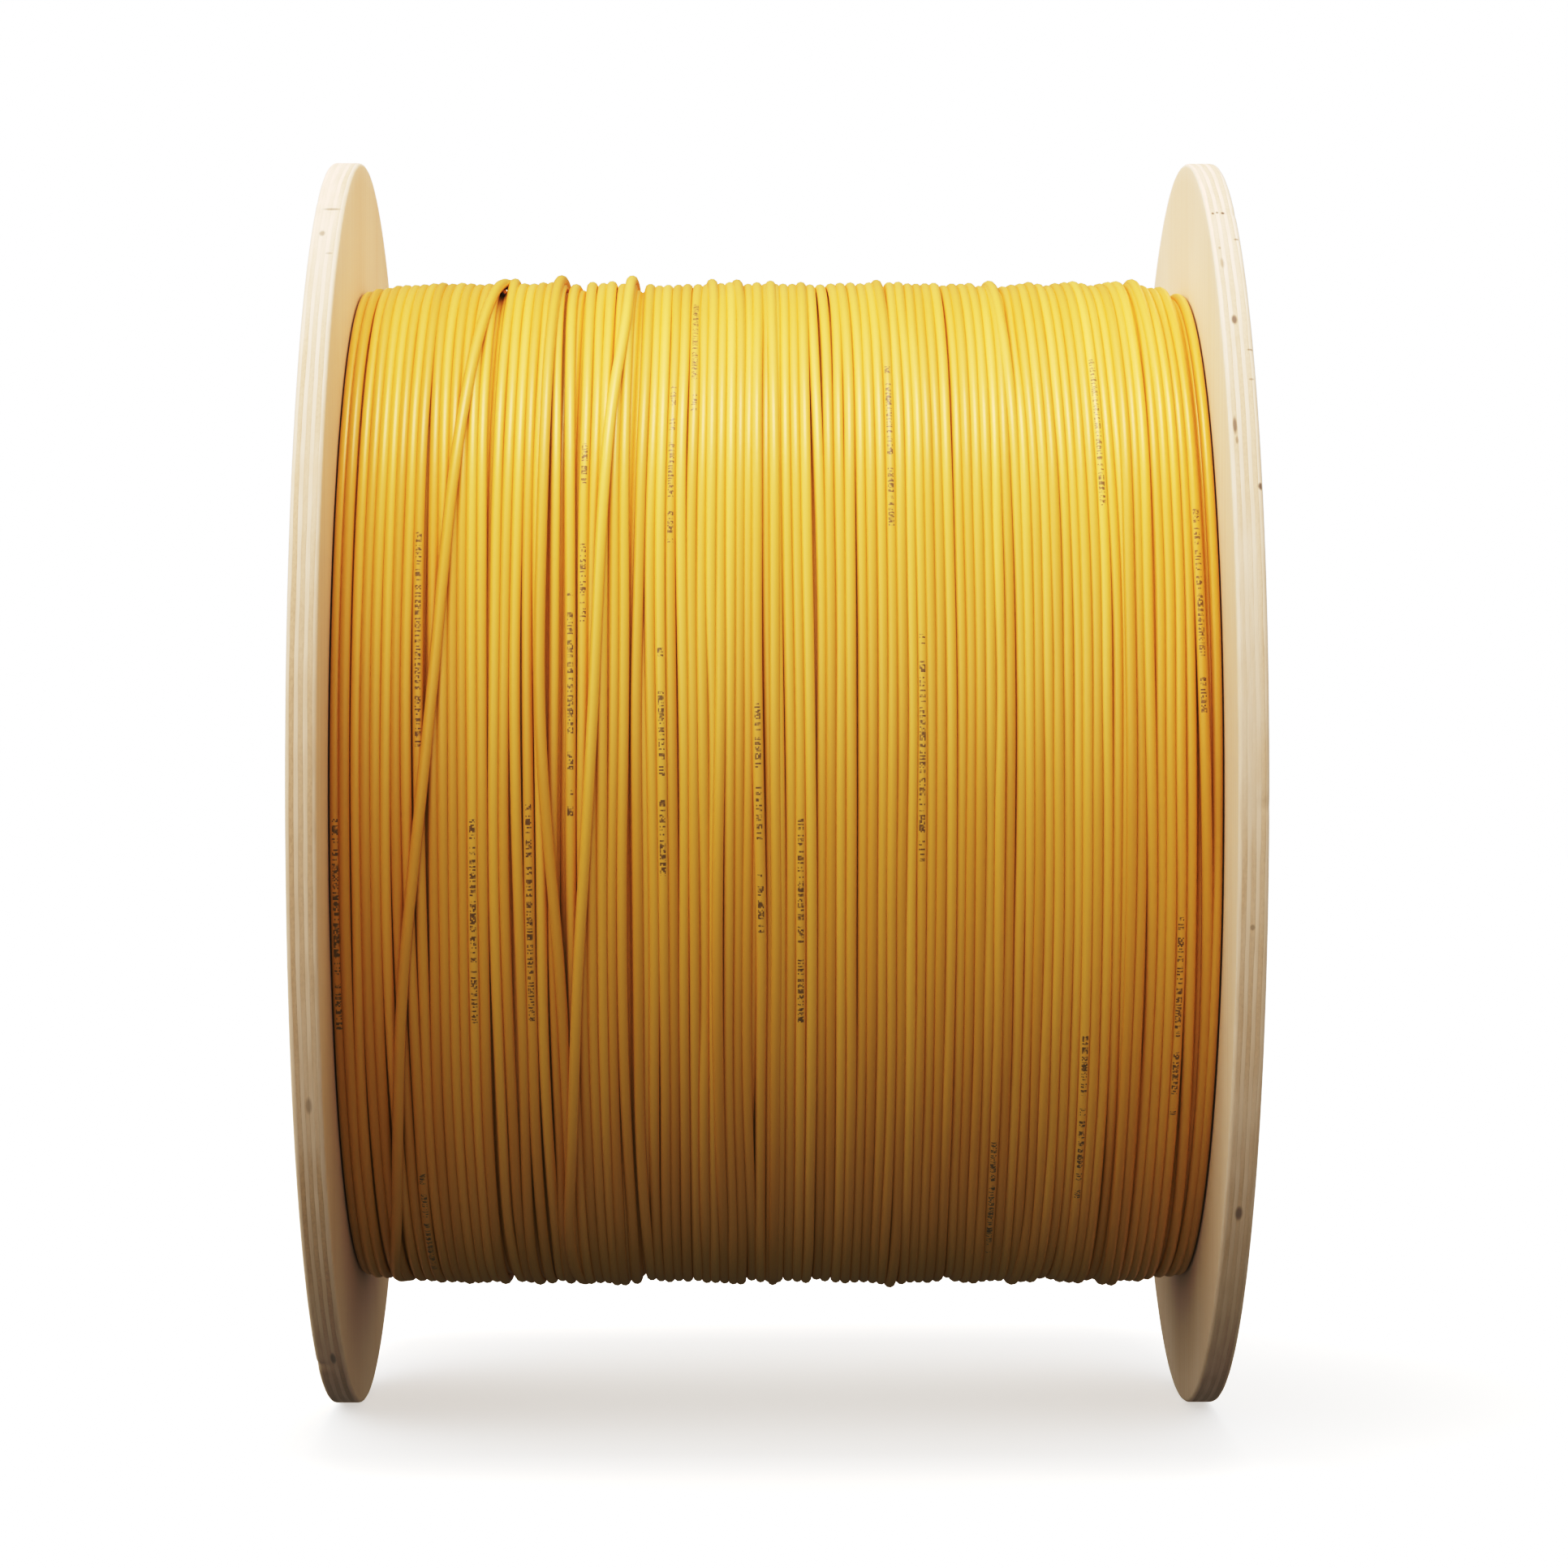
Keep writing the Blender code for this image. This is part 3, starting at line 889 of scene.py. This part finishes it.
def makeFlange(side, shape, material, chips, seed):
    node = f"flange_{side}"
    outwards, outer, inner = ends(node, side)
    thickness = abs(outer - inner)
    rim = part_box(node)[1].z

    def at(depth, radius):
        return inner + outwards * depth, radius

    recessRadius, recessDepth = shape["collarRecess"]
    ring = rim - shape["faceRing"]
    profile = [at(0, shape["bore"]), at(0, ring)]
    profile += [at(thickness * share, rim) for share in shape["rimLoops"]]
    profile += [
        at(thickness, ring), at(thickness, recessRadius),
        at(thickness - recessDepth, recessRadius), at(thickness - recessDepth, shape["bore"]),
    ]
    plate = turned(profile, shape["steps"])
    softenEdges(plate, shape["rimRounding"], 4,
                lambda edge: edge.verts[0].co.yz.length > rim - tiny)
    softenEdges(plate, shape["recessRounding"], 1,
                lambda edge: edge.verts[0].co.yz.length < recessRadius + tiny)
    for vert in plate.verts:
        radius = vert.co.yz.length
        if radius > rim - shape["wornWidth"]:
            depth = (vert.co.x - inner) * outwards / thickness
            angle = math.atan2(vert.co.z, -vert.co.y)
            keep = 1 - rimWear(angle, depth, shape, chips, seed) / radius
            vert.co.y *= keep
            vert.co.z *= keep

    washerRadius, washerDepth = shape["washerRecess"]
    shoulder = thickness - washerDepth
    stepped = [
        at(thickness + past, 0), at(thickness + past, washerRadius),
        at(shoulder, washerRadius), at(shoulder, shape["rodHole"]),
        at(-past, shape["rodHole"]), at(-past, 0),
    ]
    cutters = [turned(stepped, shape["holeSteps"], middle(f"washer_{side}_{number}"))
               for number in range(1, 5)]
    holes = [(shape["driveHole"], (math.hypot(*middle(f"washer_{side}_1")), 0.0))]
    if side == "left":
        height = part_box("barrel_tube")[1].z + shape["startHeight"]
        holes.append((shape["startHole"], (0.0, height)))
    for radius, centre in holes:
        bore = [at(thickness + past, 0), at(thickness + past, radius),
                at(-past, radius), at(-past, 0)]
        cutters.append(turned(bore, shape["holeSteps"], centre))
    name = "flange" + side.capitalize()
    piece = newPiece(name, meshOf(cutAway(plate, cutters), name), material, "plywood", node)
    smoothShade(piece)
    print(name, "made:", len(piece.data.polygons), "faces")


# Bushes, nuts and washers

bushShape = {
    "bore": 0.020,
    "tube": 0.023,
    "collarThickness": 0.002,
    "leadIn": 0.001,
    "groove": (0.0262, 0.0282, 0.0004),  # inner radius, outer radius and depth
    "rounding": 0.0002,
    "steps": 144,
}


def makeBush(side, shape, material):
    node = f"arbor_bush_{side}"
    outwards, face, inside = ends(node, side)
    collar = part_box(node)[1].z
    seat = face - outwards * shape["collarThickness"]
    grooveIn, grooveOut, grooveDepth = shape["groove"]
    floor = face - outwards * grooveDepth
    profile = [
        (face, shape["bore"] + shape["leadIn"]),
        (face, grooveIn), (floor, grooveIn + grooveDepth),
        (floor, grooveOut - grooveDepth), (face, grooveOut),
        (face, collar), (seat, collar),
        (seat, shape["tube"]), (inside, shape["tube"]),
        (inside, shape["bore"]), (face - outwards * shape["leadIn"], shape["bore"]),
    ]
    body = turned(profile, shape["steps"])
    softenEdges(body, shape["rounding"], 2)
    name = "arborBush" + side.capitalize()
    smoothShade(newPiece(name, meshOf(body, name), material, "bush_plastic", node))


nutShape = {
    "headThickness": 0.002,
    "sleeve": 0.0045,
    "bore": 0.0034,
    "boreBottom": 0.0055,
    "socketWidth": 0.005,
    "socketDepth": 0.0035,
    "rounding": 0.00045,
    "steps": 48,
}


def makeNut(side, number, shape, material):
    node = f"sleeve_nut_{side}_{number}"
    outwards, face, tip = ends(node, side)
    head = radiusOf(node)
    under = face - outwards * shape["headThickness"]
    bottom = face - outwards * shape["boreBottom"]
    centre = middle(node)
    profile = [
        (face, 0), (face, head), (under, head), (under, shape["sleeve"]),
        (tip, shape["sleeve"]), (tip, shape["bore"]), (bottom, shape["bore"]), (bottom, 0),
    ]
    body = turned(profile, shape["steps"], centre)
    softenEdges(body, shape["rounding"], 3,
                lambda edge: (edge.verts[0].co.yz - Vector(centre)).length > head - tiny)
    corner = shape["socketWidth"] / math.sqrt(3)
    above = face + outwards * past
    floor = face - outwards * shape["socketDepth"]
    socket = turned([(above, 0), (above, corner), (floor, corner), (floor, 0)], 6, centre)
    name = f"sleeveNut{side.capitalize()}{number}"
    mesh = meshOf(cutAway(body, [socket]), name)
    smoothShade(newPiece(name, mesh, material, "zinc_steel", node))


washerShape = {
    "hole": 0.0048,
    "rounding": 0.0002,
    "steps": 64,
}


def makeWasher(side, number, shape, material):
    node = f"washer_{side}_{number}"
    low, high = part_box(node)
    hole, radius = shape["hole"], radiusOf(node)
    profile = [(high.x, hole), (high.x, radius), (low.x, radius), (low.x, hole)]
    body = turned(profile, shape["steps"], middle(node))
    softenEdges(body, shape["rounding"], 2)
    name = f"washer{side.capitalize()}{number}"
    smoothShade(newPiece(name, meshOf(body, name), material, "zinc_steel", node))


# Stage

stageLook = {
    "distance": 1.667,
    "cameraX": -0.0096,
    "aim": (0.0034, 0.0, -0.0004),
    "lens": 117.7,
    "sensor": 36.0,
    "furthest": 60.0,
    "sky": [  # (height of the direction, colour)
        (-1.0, (0.11, 0.11, 0.11)), (-0.5, (0.21, 0.21, 0.21)), (-0.1, (0.31, 0.31, 0.31)),
        (0.15, (0.86, 0.86, 0.87)), (0.5, (0.97, 0.97, 0.98)), (1.0, (0.76, 0.77, 0.78)),
    ],
    "lowBand": (-0.2, 0.4),  # heights over which the low light gives way to the high light
    "leftExtra": 0.75,  # how much brighter the high light is from the left
    "sideShade": 0.9,  # how much darker the low light is from the sides
    "frontBand": (-0.2, 0.5),  # both hold towards the front, and less towards the back
    "atBack": 0.4,
    "backShade": 0.85,  # how much darker the reflected sky is behind the object
    "backBand": (0.3, 0.75),
    "strip": {"place": (0.0, -0.13, 1.5), "size": (0.9, 0.45), "power": 6.0},
    "contrast": 2.4,  # steepness of the tones in the shade
    "middleTone": 0.345,  # light level that comes out half way
    "haze": 0.018,  # light level of stray light, which lifts the shade
    "whiteEnd": 8,  # power that keeps the lift to full white near the end
    "toneSteps": 24,
    "floor": (0.93, 0.93, 0.92),
    "mottled": (0.9114, 0.9114, 0.9016),
    "floorGlow": 0.3,  # keeps the floor as white as the backdrop
    "floorRadius": 12.0,
    "floorGap": 0.0002,
}


def makeCamera(look):
    camera = bpy.data.objects.new("camera", bpy.data.cameras.new("camera"))
    bpy.context.scene.collection.objects.link(camera)
    camera.data.lens = look["lens"]
    camera.data.sensor_width = look["sensor"]
    camera.data.clip_end = look["furthest"]
    camera.location = (look["cameraX"], -look["distance"], 0.0)
    direction = Vector(look["aim"]) - camera.location
    camera.rotation_euler = direction.to_track_quat("-Z", "Y").to_euler()
    bpy.context.scene.camera = camera


def makeSky(look):
    sky = Shader(bpy.data.worlds.new("softStudio"))
    bpy.context.scene.world = sky.owner
    direction = sky.node("ShaderNodeTexCoord", output="Generated")
    x, y, z = sky.parts(direction)
    stops = [((height + 1) / 2, colour) for height, colour in look["sky"]]
    light = sky.node("ShaderNodeValToRGB", {"stops": stops}, {"Fac": z * 0.5 + 0.5})
    low = 1 - z.within(*look["lowBand"])
    reflected = sky.node("ShaderNodeLightPath", output="Is Glossy Ray")
    behind = y.within(*look["backBand"]) * reflected
    front = look["atBack"] + (1 - look["atBack"]) * (-1 * y).within(*look["frontBand"])
    level = 1 - x * look["leftExtra"] * front * (1 - low)
    level = level * (1 - abs(x) * low * front * look["sideShade"])
    level = level * (1 - behind * look["backShade"])
    lit = sky.node("ShaderNodeBackground", values={"Color": light, "Strength": level})
    white = sky.node("ShaderNodeBackground", values={"Color": (1, 1, 1, 1), "Strength": 1.0})
    seen = sky.node("ShaderNodeLightPath", output="Is Camera Ray")
    both = sky.node("ShaderNodeMixShader", values={0: seen, 1: lit, 2: white})
    sky.node("ShaderNodeOutputWorld", values={"Surface": both})


def makeLight(name, place, size, power):
    data = bpy.data.lights.new(name, "AREA")
    data.shape = "RECTANGLE"
    data.size, data.size_y = size
    data.energy = power
    light = bpy.data.objects.new(name, data)
    bpy.context.scene.collection.objects.link(light)
    light.location = place
    light.rotation_euler = (-light.location).to_track_quat("-Z", "Y").to_euler()


def setTones(look):  # a film-like curve: deep shade, soft highlights, white stays white
    view = bpy.context.scene.view_settings
    view.view_transform = "Standard"
    view.use_curve_mapping = True
    mapping = view.curve_mapping
    mapping.extend = "HORIZONTAL"
    curve = mapping.curves[3]  # the one for all three colours
    power, half = look["contrast"], look["middleTone"] ** look["contrast"]
    steps = look["toneSteps"]
    for step in range(steps + 1):
        level = step / steps
        light = (level + look["haze"] * (1 - level)) ** power
        tone = light / (light + half) + half / (1 + half) * level ** look["whiteEnd"]
        if step in (0, steps):
            curve.points[step // steps].location = (level, tone)
        else:
            curve.points.new(level, tone)
    mapping.update()


def makeFloor(look):
    shape = bmesh.new()
    height = Matrix.Translation((0, 0, cadBounds[0][2] - look["floorGap"]))
    bmesh.ops.create_circle(
        shape, cap_ends=True, segments=96, radius=look["floorRadius"], matrix=height)
    floor = bpy.data.objects.new("floor", meshOf(shape, "floor"))
    bpy.context.scene.collection.objects.link(floor)
    shader = newShader("paleFloor")
    mottle = shader.noise(shader.place(), 3.0, 2.0)
    white = shader.finish({
        "Base Color": shader.blend(mottle * 0.2, look["floor"], look["mottled"]),
        "Roughness": 0.9,
        "Emission Color": (1, 1, 1, 1),
        "Emission Strength": look["floorGlow"],
    })
    white.cycles.emission_sampling = "NONE"
    floor.data.materials.append(white)
    floor.visible_diffuse = False
    floor.visible_glossy = False


# Building

def coverNode(node, material):  # a look for a CAD piece that is used as it is
    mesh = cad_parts[node].data
    mesh.materials.clear()
    mesh.materials.append(material)


makeWinding(windingShape, makeJacket(jacketLook))

rimWidth = 0.02  # all holes lie further in than this
flangeSeeds = {"left": (3.1, 1.0), "right": (5.8, 2.0)}  # of the grain and of the rim's wear
discSeeds = {"left": 9.1, "right": 10.1}
for side in ("left", "right"):
    flange, disc = f"flange_{side}", f"locating_disc_{side}"
    grainSeed, wearSeed = flangeSeeds[side]
    outwards, outer, inner = ends(flange, side)
    wood = makePlywood(
        f"birchPly{side.capitalize()}", plywoodLook, inner, outwards, abs(outer - inner),
        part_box(flange)[1].z - rimWidth, faceTones[side], rimMarks[side], grainSeed,
    )
    makeFlange(side, flangeShape, wood, rimChips[side], wearSeed)
    outwards, outer, inner = ends(disc, side)
    coverNode(disc, makePlywood(
        f"discPly{side.capitalize()}", plywoodLook, outer, -outwards, abs(outer - inner),
        1.0, faceTones["right"], [], discSeeds[side],
    ))

zinc = makeZinc(zincLook)
plastic = makePlastic(plasticLook)
for side in ("left", "right"):
    makeBush(side, bushShape, plastic)
    for number in range(1, 5):
        makeNut(side, number, nutShape, zinc)
        makeWasher(side, number, washerShape, zinc)
coverNode("barrel_tube", makeFibreboard(fibreboardLook))
for number in range(1, 5):
    coverNode(f"tie_rod_{number}", zinc)
print("hardware made")

makeCamera(stageLook)
makeSky(stageLook)
makeLight("overheadStrip", **stageLook["strip"])
makeFloor(stageLook)
setTones(stageLook)
print("stage made")
